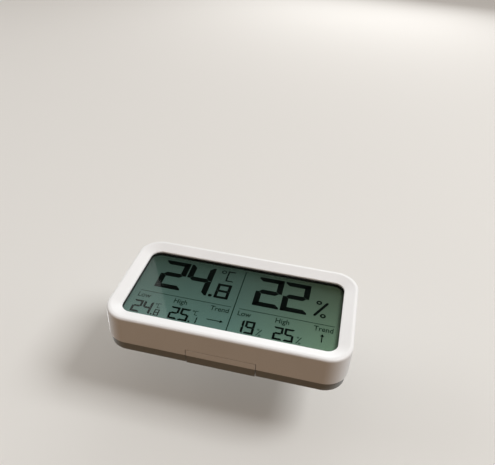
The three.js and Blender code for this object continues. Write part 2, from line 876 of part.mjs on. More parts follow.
bosses().forEach((place, i) => add(`case_screw_${i + 1}`, caseScrew(place), 'steel'));
boardScrews().forEach((place, i) => add(`board_screw_${i + 1}`, boardScrew(place), 'steel'));

export default group;
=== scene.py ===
"""Desk thermometer and hygrometer: every visible piece and finish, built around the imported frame.

Metres, +Z up, the display towards -Y. A depth is counted backwards from the front rim.
"""

import math

import bmesh
import bpy
from bpy.props import FloatProperty, FloatVectorProperty, PointerProperty, StringProperty
from mathutils import Euler, Matrix, Vector


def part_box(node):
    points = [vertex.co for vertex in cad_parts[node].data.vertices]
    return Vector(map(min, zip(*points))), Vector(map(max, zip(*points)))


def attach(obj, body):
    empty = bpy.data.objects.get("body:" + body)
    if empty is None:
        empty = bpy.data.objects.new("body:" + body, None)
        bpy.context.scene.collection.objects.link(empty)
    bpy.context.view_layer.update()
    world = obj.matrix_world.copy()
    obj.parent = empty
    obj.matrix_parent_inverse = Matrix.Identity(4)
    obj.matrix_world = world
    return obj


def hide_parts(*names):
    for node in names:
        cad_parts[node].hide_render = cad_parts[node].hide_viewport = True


bl_info = {
    "name": "Desk Thermometer and Hygrometer",
    "version": (1, 0, 0),
    "blender": (4, 5, 0),
    "location": "3D View > Sidebar > Hygrometer",
    "description": "Builds the looks of a desk thermometer and hygrometer, piece by piece",
    "category": "Object",
}

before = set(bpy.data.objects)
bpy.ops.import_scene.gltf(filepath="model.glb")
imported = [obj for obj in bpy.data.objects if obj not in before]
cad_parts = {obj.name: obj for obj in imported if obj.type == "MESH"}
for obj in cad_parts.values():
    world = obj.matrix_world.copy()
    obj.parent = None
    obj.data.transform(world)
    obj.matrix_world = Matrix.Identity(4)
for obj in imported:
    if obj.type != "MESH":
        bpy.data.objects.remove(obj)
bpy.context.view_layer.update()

MM = 0.001

# The frame's own places, which the new pieces follow
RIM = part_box("front_housing")[0].y
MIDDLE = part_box("front_housing")[1].z / 2
TO_FRONT = Matrix.Rotation(math.radians(90), 4, "X")

# Points that are closer than this are one point
WELD = 1e-6

# Width of the slow drift of gloss over a moulded face
DRIFT = 28 * MM

# Distance between the bands of a wave texture whose scale is 1
WAVE_PERIOD = 0.31

# The range in which most of a noise pattern lies
NOISE_RANGE = (0.3, 0.7)

# Segments of a seven-bar digit: middle of the bar as shares of the digit's width and height,
# quarter turns from the top bar, and whether each end is a corner of the digit.
BARS = {
    "a": (0, 0.5, 0, (True, True)),
    "b": (0.5, 0.25, 3, (True, False)),
    "c": (0.5, -0.25, 3, (False, True)),
    "d": (0, -0.5, 2, (True, True)),
    "e": (-0.5, -0.25, 1, (True, False)),
    "f": (-0.5, 0.25, 1, (False, True)),
    "g": (0, 0, 0, None),
}
LIT = {
    "0": "abcdef",
    "1": "bc",
    "2": "abdeg",
    "3": "abcdg",
    "4": "bcfg",
    "5": "acdfg",
    "6": "acdefg",
    "7": "abc",
    "8": "abcdefg",
    "9": "abcdfg",
    "C": "adef",
}


def linear(colour, alpha=1.0):
    """An sRGB hex colour as linear RGBA."""
    shares = [int(colour[i : i + 2], 16) / 255 for i in (1, 3, 5)]
    return (*(c / 12.92 if c <= 0.04045 else ((c + 0.055) / 1.055) ** 2.4 for c in shares), alpha)


def length(name, description, millimetres):
    """A length property, in metres."""
    return FloatProperty(
        name=name,
        description=description,
        default=millimetres * MM,
        min=0,
        precision=5,
        subtype="DISTANCE",
        unit="LENGTH",
    )


def tint(name, description, colour):
    """A colour property."""
    return FloatVectorProperty(
        name=name,
        description=description,
        default=linear(colour),
        size=4,
        min=0,
        max=1,
        subtype="COLOR",
    )


def reading(name, description, text):
    """A reading on the display."""
    return StringProperty(name=name, description=description, default=text)


def power(name, description, watts):
    """A lamp's power."""
    return FloatProperty(
        name=name, description=description, default=watts, min=0, subtype="POWER", unit="POWER"
    )


class CaseSettings(bpy.types.PropertyGroup):
    corner_radius: length("Corner radius", "Outer corner radius of the front housing", 11.8)
    wall: length("Wall", "Wall thickness of the front housing", 2)
    rim_radius: length("Rim radius", "Rounding of the housing's front edge", 1.2)
    rim_land: length("Rim land", "Flat width between the rounded edge and the dish", 0.4)
    dish_depth: length("Dish depth", "How far the bezel sinks to the window's edge", 1.8)
    window_radius: length("Window radius", "Corner radius of the display window", 5.4)
    lens_margin: length("Lens margin", "How far the lens reaches behind the window's edge", 0.8)
    seat_gap: length("Seat gap", "Clearance between the stacked display layers", 0.1)
    edge: length("Edge rounding", "Rounding of the moulded edges", 0.25)
    cover_edge: length("Cover edge rounding", "Rounding of the rear cover's small edges", 0.15)
    grain: length("Texture size", "Spark-eroded texture, coarser than real so that it shows", 0.45)
    housing_colour: tint("Housing colour", "White ABS of the front housing", "#f3f2f1")
    # Partly painted shade: the cover's mid grey also darkens the band behind the parting line under
    # the case, where shade falls
    cover_colour: tint("Cover colour", "Grey ABS of the cover, battery door and stand", "#8f918f")
    key_colour: tint("Key colour", "White ABS of the push buttons", "#dcdcd8")


class DisplaySettings(bpy.types.PropertyGroup):
    temperature: reading("Temperature", "Large reading at left", "24.8")
    humidity: reading("Humidity", "Large reading at right", "22")
    temperature_low: reading("Lowest temperature", "Small reading", "24.8")
    temperature_high: reading("Highest temperature", "Small reading", "25.1")
    humidity_low: reading("Lowest humidity", "Small reading", "19")
    humidity_high: reading("Highest humidity", "Small reading", "25")
    digit_height: length("Digit height", "Height of the large digits", 22.4)
    digit_width: length("Digit width", "Width of the large digits", 13.6)
    digit_pitch: length("Digit pitch", "Distance between the large digits", 14.3)
    digit_stroke: length("Digit stroke", "Width of the large digits' bars", 3.1)
    small_height: length("Small digit height", "Height of the lowest and highest readings", 8.5)
    small_width: length("Small digit width", "Width of the lowest and highest readings", 4.7)
    small_stroke: length("Small digit stroke", "Bar width of the lowest and highest readings", 1.15)
    label_height: length("Label height", "Height of the words' capitals", 3.4)
    ink_thickness: length("Ink thickness", "Thickness of the dark segments", 0.05)
    ink_colour: tint("Ink colour", "Dark segments", "#060b09")
    faint_colour: tint("Faint ink colour", "Words and dividing lines", "#1d2c26")
    # The upper grounds are darker than the lower ones: painted shade and reflection, not the film's
    # own colour
    ground_low: tint("Lower ground", "Display ground at its lower edge", "#748e8b")
    painted_shade_ground_high: tint("Upper ground", "Display ground at its upper edge", "#3f4c46")
    olive_low: tint("Lower right ground", "Display ground at its lower right", "#8ea288")
    painted_shade_olive_high: tint("Upper right ground", "Display ground at its upper right", "#474a35")


class StageSettings(bpy.types.PropertyGroup):
    key_power: power("Key light", "Power of the main light", 6.3)
    top_power: power("Top light", "Power of the light above", 2.5)
    fill_power: power("Fill light", "Power of the side light", 1.5)
    back_power: power("Back light", "Power of the light behind", 6)
    sky: FloatProperty(
        name="Sky strength", description="Brightness of the surroundings above", default=0.6, min=0
    )
    floor_colour: tint("Floor colour", "Pale matte floor and backdrop", "#e9e7e3")
    below_colour: tint("Light from below", "Warm dim light that reaches the underside", "#786450")
    focal: FloatProperty(
        name="Focal length", description="Camera lens in millimetres", default=39.416, min=1
    )


# ---------------------------------------------------------------- mesh helpers


def at_depth(distance):
    """The place of a depth behind the front rim."""
    return RIM + distance


def loop_of(bm, size, radius, y, steps=16):
    """Edges of a rounded rectangle that faces the front, round the middle of the case."""
    known = set(bm.faces)
    spread_out = Matrix.Diagonal((size[0], size[1], 1, 1))
    place = Matrix.Translation((0, y, MIDDLE)) @ TO_FRONT @ spread_out
    corners = bmesh.ops.create_grid(bm, x_segments=1, y_segments=1, size=0.5, matrix=place)["verts"]
    bmesh.ops.bevel(
        bm, geom=corners, offset=radius, segments=steps, profile=0.5, affect="VERTICES", material=-1
    )
    face = (set(bm.faces) - known).pop()
    edges = list(face.edges)
    bmesh.ops.delete(bm, geom=[face], context="FACES_ONLY")
    return edges


def bridge(bm, loops):
    """Walls between each two loops that follow each other."""
    for first, second in zip(loops, loops[1:]):
        bmesh.ops.bridge_loops(bm, edges=first + second)


def round_off(bm, edges, radius, steps=3):
    """Rounds edges, as far as the faces beside them leave room."""
    bmesh.ops.bevel(
        bm, geom=edges, offset=radius, segments=steps, profile=0.5, affect="EDGES",
        material=-1, clamp_overlap=True,
    )


def shade(bm, angle=32):
    """Smooth faces with sharp edges where two faces meet at more than the angle."""
    for face in bm.faces:
        face.smooth = True
    for edge in bm.edges:
        edge.smooth = len(edge.link_faces) == 2 and edge.calc_face_angle(0) < math.radians(angle)


def finished(bm, name, body, finish, stands_for=()):
    """Turns a bmesh into a piece that rides on a body of the frame."""
    shade(bm)
    mesh = bpy.data.meshes.new(name)
    bm.to_mesh(mesh)
    bm.free()
    mesh.materials.append(finish)
    piece = bpy.data.objects.new(name, mesh)
    bpy.context.scene.collection.objects.link(piece)
    even = piece.modifiers.new("even_shading", "WEIGHTED_NORMAL")
    even.keep_sharp = True
    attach(piece, body)
    if stands_for:
        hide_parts(*stands_for)
    return piece


def welded(node, side=None):
    """A CAD node's shape, or one side of it, as a bmesh of merged, flat faces."""
    bm = bmesh.new()
    bm.from_mesh(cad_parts[node].data)
    bmesh.ops.remove_doubles(bm, verts=bm.verts, dist=WELD)
    if side:
        keep_side(bm, *side)
    bmesh.ops.dissolve_degenerate(bm, edges=bm.edges, dist=WELD)
    bmesh.ops.dissolve_limit(
        bm, angle_limit=math.radians(1), verts=bm.verts, edges=bm.edges, delimit={"NORMAL"}
    )
    return bm


def refined(node, name, body, finish, rounding, side=None):
    """A CAD node, or one side of it, with its outward edges rounded. It stands for the node."""
    bm = welded(node, side)
    round_off(bm, outer_edges(bm), rounding, 2)
    bmesh.ops.dissolve_degenerate(bm, edges=bm.edges, dist=WELD)
    return finished(bm, name, body, finish, [node])


def dress(finish, *nodes):
    """Gives CAD nodes that keep their shape a new finish."""
    for node in nodes:
        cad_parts[node].material_slots[0].material = finish


def keep_side(bm, y, behind):
    """Keeps what is behind or in front of a cut across the shape, closed again."""
    bmesh.ops.bisect_plane(
        bm, geom=[*bm.verts, *bm.edges, *bm.faces], dist=WELD, plane_co=(0, y, 0),
        plane_no=(0, 1, 0), clear_outer=not behind, clear_inner=behind,
    )
    in_cut = [f for f in bm.faces if all(abs(v.co.y - y) < WELD for v in f.verts)]
    bmesh.ops.delete(bm, geom=in_cut, context="FACES")
    bmesh.ops.holes_fill(bm, edges=[e for e in bm.edges if e.is_boundary])
    bmesh.ops.recalc_face_normals(bm, faces=bm.faces)


def outer_edges(bm, angle=50):
    """Edges that stand out, where two faces meet at more than the angle."""
    return [
        e for e in bm.edges
        if len(e.link_faces) == 2 and e.calc_face_angle_signed(0) > math.radians(angle)
    ]


# ---------------------------------------------------------------- materials


def add_node(tree, kind, inputs=None, **settings):
    """Adds one node with its settings. An input is given a value, or linked if it is a socket."""
    node = tree.nodes.new(kind)
    for name, value in settings.items():
        setattr(node, name, value)
    for name, value in (inputs or {}).items():
        if isinstance(value, bpy.types.NodeSocket):
            tree.links.new(value, node.inputs[name])
        else:
            node.inputs[name].default_value = value
    return node


def blank(name):
    """A new material with an empty tree and its output node."""
    material = bpy.data.materials.new(name)
    material.use_nodes = True
    tree = material.node_tree
    tree.nodes.clear()
    return material, tree, add_node(tree, "ShaderNodeOutputMaterial")


def grains(tree, size, detail=2.0):
    """Uneven grains about one size across, in the piece's own space."""
    place = add_node(tree, "ShaderNodeTexCoord").outputs["Object"]
    return add_node(
        tree, "ShaderNodeTexNoise", {"Vector": place, "Scale": 1 / size, "Detail": detail}
    ).outputs["Fac"]


def uneven(tree, size, low, high, detail=2.0):
    """A value that wanders between two others in patches about one size across."""
    return add_node(
        tree, "ShaderNodeMapRange",
        {
            "Value": grains(tree, size, detail), "From Min": NOISE_RANGE[0],
            "From Max": NOISE_RANGE[1], "To Min": low, "To Max": high,
        },
    ).outputs["Result"]


def shaded(colour, share):
    """A colour made darker or lighter by a share."""
    return (*(min(1, c * share) for c in colour[:3]), 1)


def moulded(name, colour, grain, gloss):
    """ABS from a spark-eroded mould: a fine even pebble, and gloss that drifts over a wide face."""
    material, tree, out = blank(name)
    patches = uneven(tree, DRIFT, 0, 1, 1.0)
    tone = add_node(
        tree, "ShaderNodeMix", {"Factor": patches, "A": colour, "B": shaded(colour, 0.965)},
        data_type="RGBA",
    )
    pebble = grains(tree, grain, 3.0)
    bump = add_node(
        tree, "ShaderNodeBump", {"Strength": 0.35, "Distance": 0.02 * MM, "Height": pebble}
    )
    skin = add_node(
        tree, "ShaderNodeBsdfPrincipled",
        {
            "Base Color": tone.outputs["Result"],
            "Roughness": uneven(tree, DRIFT, gloss - 0.04, gloss + 0.05, 1.0),
            "IOR": 1.54,
            "Normal": bump.outputs["Normal"],
        },
    )
    tree.links.new(skin.outputs[0], out.inputs["Surface"])
    return material


def clear(name, tone, gloss, head_on=0.04):
    """A clear sheet with faint wiping marks, which mirrors more the flatter it is looked at."""
    material, tree, out = blank(name)
    facing = add_node(tree, "ShaderNodeLayerWeight", {"Blend": 0.5}).outputs["Facing"]
    steep = add_node(tree, "ShaderNodeMath", {0: facing, 1: 5.0}, operation="POWER").outputs[0]
    share = add_node(
        tree, "ShaderNodeMath", {0: steep, 1: 1 - head_on, 2: head_on}, operation="MULTIPLY_ADD"
    ).outputs[0]
    through = add_node(tree, "ShaderNodeBsdfTransparent", {"Color": tone})
    shine = add_node(
        tree, "ShaderNodeBsdfGlossy",
        {"Roughness": uneven(tree, 9 * MM, gloss, gloss + 0.05, 3.0)},
    )
    both = add_node(
        tree, "ShaderNodeMixShader", {0: share, 1: through.outputs[0], 2: shine.outputs[0]}
    )
    tree.links.new(both.outputs[0], out.inputs["Surface"])
    return material


def ink(name, colour):
    """Liquid crystal turned dark: flat and even, with the film's soft gloss."""
    material, tree, out = blank(name)
    patches = uneven(tree, 6 * MM, 0, 1)
    tone = add_node(
        tree, "ShaderNodeMix", {"Factor": patches, "A": colour, "B": shaded(colour, 0.8)},
        data_type="RGBA",
    )
    skin = add_node(
        tree, "ShaderNodeBsdfPrincipled",
        {
            "Base Color": tone.outputs["Result"],
            "Roughness": 0.6,
            "IOR": 1.45,
            "Specular IOR Level": 0.04,
        },
    )
    tree.links.new(skin.outputs[0], out.inputs["Surface"])
    return material


def display_ground(display):
    """Polariser film over a silvered reflector: grey-green and speckled, with painted shade and
    reflection that darken it towards the top.
    """
    material, tree, out = blank("polariser_film")
    place = add_node(tree, "ShaderNodeTexCoord").outputs["Object"]
    axes = add_node(tree, "ShaderNodeSeparateXYZ", {0: place}).outputs
    lowest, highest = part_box("lcd_front_polariser")
    level = add_node(
        tree, "ShaderNodeMapRange",
        {"Value": axes["Z"], "From Min": lowest.z, "From Max": highest.z},
    ).outputs["Result"]
    # Painted shade: the ground turns darker towards the top
    rise = add_node(tree, "ShaderNodeMath", {0: level, 1: 0.8}, operation="POWER").outputs[0]
    olive = add_node(
        tree, "ShaderNodeMapRange",
        {"Value": axes["X"], "From Min": 0, "From Max": highest.x, "To Max": 0.8},
    ).outputs["Result"]
    lower, upper = (
        add_node(
            tree, "ShaderNodeMix", {"Factor": olive, "A": left, "B": right}, data_type="RGBA"
        ).outputs["Result"]
        for left, right in (
            (display.ground_low, display.olive_low), (display.painted_shade_ground_high, display.painted_shade_olive_high),
        )
    )
    ground = add_node(
        tree, "ShaderNodeMix", {"Factor": rise, "A": lower, "B": upper}, data_type="RGBA"
    ).outputs["Result"]
    speckle = uneven(tree, 0.3 * MM, 0, 0.12)
    tone = add_node(
        tree, "ShaderNodeMix", {"Factor": speckle, "A": ground, "B": linear("#000000")},
        data_type="RGBA",
    )
    skin = add_node(
        tree, "ShaderNodeBsdfPrincipled",
        {
            "Base Color": tone.outputs["Result"],
            "Roughness": uneven(tree, 12 * MM, 0.4, 0.5),
            "IOR": 1.49,
            "Specular IOR Level": 0.3,
        },
    )
    tree.links.new(skin.outputs[0], out.inputs["Surface"])
    return material


def opaque(name, colours, pattern, relief, fine, inputs):
    """An opaque finish: a pattern goes between two colours, a fine one gives a relief.

    A pattern is a size and detail of grains, or a function that draws it. The rest of the
    skin's inputs are values, or functions too.
    """
    material, tree, out = blank(name)
    share, height = (p(tree) if callable(p) else grains(tree, *p) for p in (pattern, fine))
    tone = add_node(
        tree, "ShaderNodeMix", {"Factor": share, "A": colours[0], "B": colours[1]},
        data_type="RGBA",
    )
    bump = add_node(
        tree, "ShaderNodeBump", {"Strength": 0.5, "Distance": relief, "Height": height}
    )
    values = {key: v(tree) if callable(v) else v for key, v in inputs.items()}
    values["Base Color"] = tone.outputs["Result"]
    values["Normal"] = bump.outputs["Normal"]
    skin = add_node(tree, "ShaderNodeBsdfPrincipled", values)
    tree.links.new(skin.outputs[0], out.inputs["Surface"])
    return material


def closed_cell_foam():
    """Black polyethylene foam: dull, with closed cells drawn coarse enough to show."""
    cells = (0.4 * MM, 4.0)
    return opaque(
        "closed_cell_foam", (linear("#0c0d0d"), linear("#1c1e1e")), cells, 0.06 * MM, cells,
        {"Roughness": 0.95, "IOR": 1.5, "Specular IOR Level": 0.25},
    )


def aluminised_film():
    """Reflector film: aluminium under a matte lacquer, faintly grained."""
    return opaque(
        "aluminised_film", (linear("#b4beb6"), linear("#9cada3")), (1.5 * MM, 3.0),
        0.01 * MM, (0.2 * MM, 2.0), {"Metallic": 0.7, "Roughness": 0.5},
    )


def striped_silicone():
    """Connector rubber: carbon-filled layers between plain ones, wider than the real 0.1 mm."""
    def stripes(tree):
        place = add_node(tree, "ShaderNodeTexCoord").outputs["Object"]
        scale = WAVE_PERIOD / (0.5 * MM)
        wave = add_node(
            tree, "ShaderNodeTexWave", {"Vector": place, "Scale": scale}, bands_direction="X"
        )
        return wave.outputs["Fac"]

    return opaque(
        "striped_silicone", (linear("#191a1b"), linear("#b9bdc4")), stripes, 0.01 * MM, stripes,
        {"Roughness": 0.6, "IOR": 1.41},
    )


def solder_mask():
    """Green lacquer over copper: the tracks stand out slightly and paler, 1.3 mm apart."""
    def tracks(tree):
        place = add_node(tree, "ShaderNodeTexCoord").outputs["Object"]
        turned = add_node(
            tree, "ShaderNodeMapping", {"Vector": place, "Rotation": (math.radians(90), 0, 0)}
        ).outputs[0]
        bricks = add_node(
            tree, "ShaderNodeTexBrick",
            {
                "Vector": turned, "Scale": 1.0, "Brick Width": 9 * MM, "Row Height": 1.3 * MM,
                "Mortar Size": 0.16 * MM, "Mortar Smooth": 0.2,
            },
        )
        return bricks.outputs["Fac"]

    return opaque(
        "green_solder_mask", (linear("#17492f"), linear("#3f8a58")), tracks, 0.03 * MM, tracks,
        {
            "Roughness": lambda tree: uneven(tree, 3 * MM, 0.3, 0.42),
            "IOR": 1.5,
            "Coat Weight": 0.3,
            "Coat Roughness": 0.2,
        },
    )


def potting_epoxy():
    """Black epoxy drop: glossy, with the slow ripple of a poured surface."""
    return opaque(
        "potting_epoxy", (linear("#0a0a0b"), linear("#17181a")), (2 * MM, 2.0),
        0.08 * MM, (1.8 * MM, 2.0), {"Roughness": 0.22, "IOR": 1.55},
    )


def black_nylon():
    """Glass-filled nylon: dull black with a slightly fibrous skin."""
    return opaque(
        "black_nylon", (linear("#151617"), linear("#232526")), (0.3 * MM, 2.0),
        0.02 * MM, (0.25 * MM, 3.0), {"Roughness": 0.55, "IOR": 1.53},
    )


def white_membrane():
    """White acetal and filter film: milky, a little uneven."""
    return opaque(
        "white_acetal", (linear("#e9e9e5"), linear("#d5d5d0")), (0.5 * MM, 2.0),
        0.02 * MM, (0.3 * MM, 3.0), {"Roughness": 0.6, "IOR": 1.48},
    )


def plated(name, colour, gloss):
    """Pressed metal with a thin plating: bright, with fine drawing lines and uneven gloss."""
    def lines(tree):
        place = add_node(tree, "ShaderNodeTexCoord").outputs["Object"]
        drawn = add_node(
            tree, "ShaderNodeMapping", {"Vector": place, "Scale": (0.1, 1, 1)}
        ).outputs[0]
        return add_node(
            tree, "ShaderNodeTexNoise", {"Vector": drawn, "Scale": 1 / (0.15 * MM), "Detail": 2.0}
        ).outputs["Fac"]

    def shine(tree):
        return add_node(
            tree, "ShaderNodeMapRange",
            {
                "Value": lines(tree), "From Min": NOISE_RANGE[0], "From Max": NOISE_RANGE[1],
                "To Min": gloss - 0.06, "To Max": gloss + 0.1,
            },
        ).outputs["Result"]

    tone = linear(colour)
    return opaque(
        name, (tone, shaded(tone, 0.88)), (4 * MM, 2.0), 0.006 * MM, lines,
        {"Metallic": 1.0, "Roughness": shine},
    )


def cell_sleeve(cell):
    """Shrunk sleeve over a steel can: glossy green with a copper band, bare steel at both ends."""
    material, tree, out = blank(f"shrink_sleeve_{cell}")
    low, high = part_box(cell)
    positive = 1 if cell == "cell_upper" else -1
    place = add_node(tree, "ShaderNodeTexCoord").outputs["Object"]
    along = add_node(tree, "ShaderNodeSeparateXYZ", {0: place}).outputs["X"]
    middle, half = (low.x + high.x) / 2, (high.x - low.x) / 2

    # From -1 at the negative end to 1 at the positive end
    share = add_node(
        tree, "ShaderNodeMapRange",
        {
            "Value": along, "From Min": middle - half * positive,
            "From Max": middle + half * positive, "To Min": -1, "To Max": 1,
        },
    ).outputs["Result"]
    band, foot, shoulder = (
        add_node(tree, "ShaderNodeMath", {0: share, 1: limit}, operation=side).outputs[0]
        for side, limit in (("GREATER_THAN", 0.45), ("LESS_THAN", -0.975), ("GREATER_THAN", 0.93))
    )
    sleeve = add_node(
        tree, "ShaderNodeMix",
        {"Factor": band, "A": linear("#1f5b3b"), "B": linear("#b0713c")}, data_type="RGBA",
    ).outputs["Result"]
    bare = add_node(
        tree, "ShaderNodeMath", {0: foot, 1: shoulder}, operation="MAXIMUM"
    ).outputs[0]
    tone = add_node(
        tree, "ShaderNodeMix", {"Factor": bare, "A": sleeve, "B": linear("#c2c4c6")},
        data_type="RGBA",
    )
    roughness = add_node(
        tree, "ShaderNodeMapRange", {"Value": bare, "To Min": 0.24, "To Max": 0.36}
    )
    wrinkles = grains(tree, 1.5 * MM)
    crease = add_node(
        tree, "ShaderNodeBump", {"Strength": 0.3, "Distance": 0.02 * MM, "Height": wrinkles}
    )
    skin = add_node(
        tree, "ShaderNodeBsdfPrincipled",
        {
            "Base Color": tone.outputs["Result"],
            "Metallic": bare,
            "Roughness": roughness.outputs["Result"],
            "Normal": crease.outputs["Normal"],
        },
    )
    tree.links.new(skin.outputs[0], out.inputs["Surface"])
    return material


# ---------------------------------------------------------------- operators


class PieceOperator:
    """What every operator here shares."""

    bl_options = {"REGISTER", "UNDO"}


class HYGROMETER_OT_front_housing(PieceOperator, bpy.types.Operator):
    """White front shell with its rounded rim, dished bezel and display window"""

    bl_idname = "hygrometer.front_housing"
    bl_label = "Front housing"

    def execute(self, context):
        case = context.scene.hygrometer_case
        low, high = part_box("front_housing")
        lens_low, lens_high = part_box("display_lens")
        outer = Vector((high.x - low.x, high.z - low.z))
        lens = Vector((lens_high.x - lens_low.x, lens_high.z - lens_low.z))
        window = lens - Vector((2, 2)) * case.lens_margin
        flare = (outer.x - window.x) / 2 - case.rim_radius - case.rim_land
        dish = window + Vector((2, 2)) * flare
        cavity = outer - Vector((2, 2)) * case.wall
        lip_back = lens_low.y - case.seat_gap
        bm = bmesh.new()
        back_outer = loop_of(bm, outer, case.corner_radius, high.y)
        front_outer = loop_of(bm, outer, case.corner_radius, low.y)
        dish_edge = loop_of(bm, dish, case.window_radius + flare, low.y)
        window_edge = loop_of(bm, window, case.window_radius, at_depth(case.dish_depth))
        window_back = loop_of(bm, window, case.window_radius, lip_back)
        cavity_front = loop_of(bm, cavity, case.corner_radius - case.wall, lip_back)
        cavity_back = loop_of(bm, cavity, case.corner_radius - case.wall, high.y)
        bridge(bm, [
            back_outer, front_outer, dish_edge, window_edge, window_back, cavity_front, cavity_back,
            back_outer,
        ])
        bmesh.ops.recalc_face_normals(bm, faces=bm.faces)
        round_off(bm, front_outer, case.rim_radius, 7)
        round_off(bm, dish_edge, case.edge)
        round_off(bm, window_edge, case.edge)
        round_off(bm, back_outer, case.edge)
        housing = finished(
            bm, "housing_shell", "case",
            moulded("moulded_white_abs", case.housing_colour, case.grain, 0.36), ["front_housing"],
        )
        self.cut_notch(housing, case)
        return {"FINISHED"}

    def cut_notch(self, housing, case):
        """Opens the lower wall where the stand's foot wraps under the case."""
        even = housing.modifiers["even_shading"]
        even.show_viewport = False
        low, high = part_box("stand")
        side = 3 * case.seat_gap
        bm = bmesh.new()
        bmesh.ops.create_cube(bm, size=1)
        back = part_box("front_housing")[1].y + case.wall
        front = low.y - side
        top = case.wall + side
        bmesh.ops.scale(bm, vec=(high.x - low.x + 2 * side, back - front, 2 * top), verts=bm.verts)
        bmesh.ops.translate(bm, vec=(0, (front + back) / 2, 0), verts=bm.verts)
        mesh = bpy.data.meshes.new("notch")
        bm.to_mesh(mesh)
        bm.free()
        notch = bpy.data.objects.new("notch", mesh)
        bpy.context.scene.collection.objects.link(notch)
        cut = housing.modifiers.new("notch", "BOOLEAN")
        cut.object = notch
        cut.operation = "DIFFERENCE"
        cut.solver = "EXACT"
        graph = bpy.context.evaluated_depsgraph_get()
        result = bpy.data.meshes.new_from_object(housing.evaluated_get(graph))
        housing.modifiers.remove(cut)
        even.show_viewport = True
        old = housing.data
        housing.data = result
        bpy.data.meshes.remove(old)
        bpy.data.objects.remove(notch)
        result.name = housing.name


class HYGROMETER_OT_display_lens(PieceOperator, bpy.types.Operator):
    """Clear acrylic lens with rounded corners, behind the window"""

    bl_idname = "hygrometer.display_lens"
    bl_label = "Display lens"

    def execute(self, context):
        case = context.scene.hygrometer_case
        low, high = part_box("display_lens")
        size = Vector((high.x - low.x, high.z - low.z))
        bm = bmesh.new()
        front = loop_of(bm, size, case.window_radius + case.lens_margin, low.y)
        back = loop_of(bm, size, case.window_radius + case.lens_margin, high.y)
        bridge(bm, [front, back])
        bmesh.ops.holes_fill(bm, edges=bm.edges)
        bmesh.ops.recalc_face_normals(bm, faces=bm.faces)
        round_off(bm, front + back, case.seat_gap, 2)
        finished(
            bm, "lens", "case",
            clear("cast_acrylic", linear("#f4faf7"), 0.02), ["display_lens"],
        )
        return {"FINISHED"}


